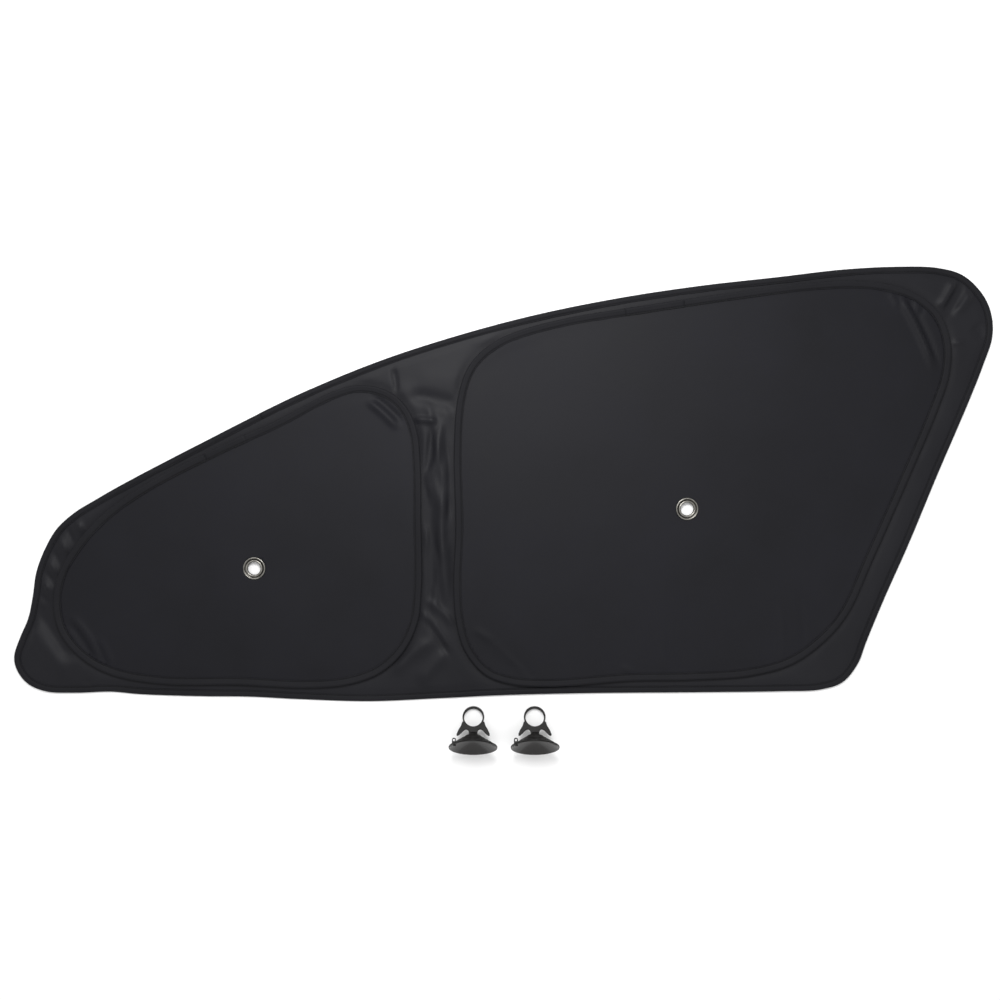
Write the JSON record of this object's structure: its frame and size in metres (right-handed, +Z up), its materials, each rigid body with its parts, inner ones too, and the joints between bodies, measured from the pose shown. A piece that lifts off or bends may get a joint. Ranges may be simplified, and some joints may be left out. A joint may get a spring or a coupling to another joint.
{
  "type": "car side window sunshade",
  "caption": "Fold-up cloth sunshade for a car side window, with sprung hoop panels, eyelets and push-through suction cups.",
  "frame": {"origin": "on the surface that the shade lies on, under the middle of the whole set's box", "axes": "+X towards the rear of the car along the shade's length, +Y towards the roof edge, +Z up through the shade's thickness"},
  "size_m": [0.9772, 0.488, 0.0425],
  "materials": {
    "surround_cloth": "thin black taffeta, slightly creased",
    "panel_cloth": "taut coated polyester, low sheen",
    "binding_tape": "folded and topstitched tape, matte",
    "spring_steel": "drawn wire",
    "nickel_plate": "nickel-plated brass, lightly dulled",
    "soft_pvc": "soft black moulding, satin"
  },
  "bodies": {
    "root": {"surround_sheet": "surround_cloth", "outer_edge_binding": "binding_tape", "front_panel_sheet": "panel_cloth", "front_hoop_binding": "binding_tape", "front_hoop_wire": "spring_steel", "front_hoop_sleeve": "spring_steel", "front_eyelet_washer": "nickel_plate", "front_eyelet_barrel": "nickel_plate", "rear_panel_sheet": "panel_cloth", "rear_hoop_binding": "binding_tape", "rear_hoop_wire": "spring_steel", "rear_hoop_sleeve": "spring_steel", "rear_eyelet_washer": "nickel_plate", "rear_eyelet_barrel": "nickel_plate", "suction_cup_1": "soft_pvc", "suction_cup_2": "soft_pvc"}
  },
  "joints": []
}
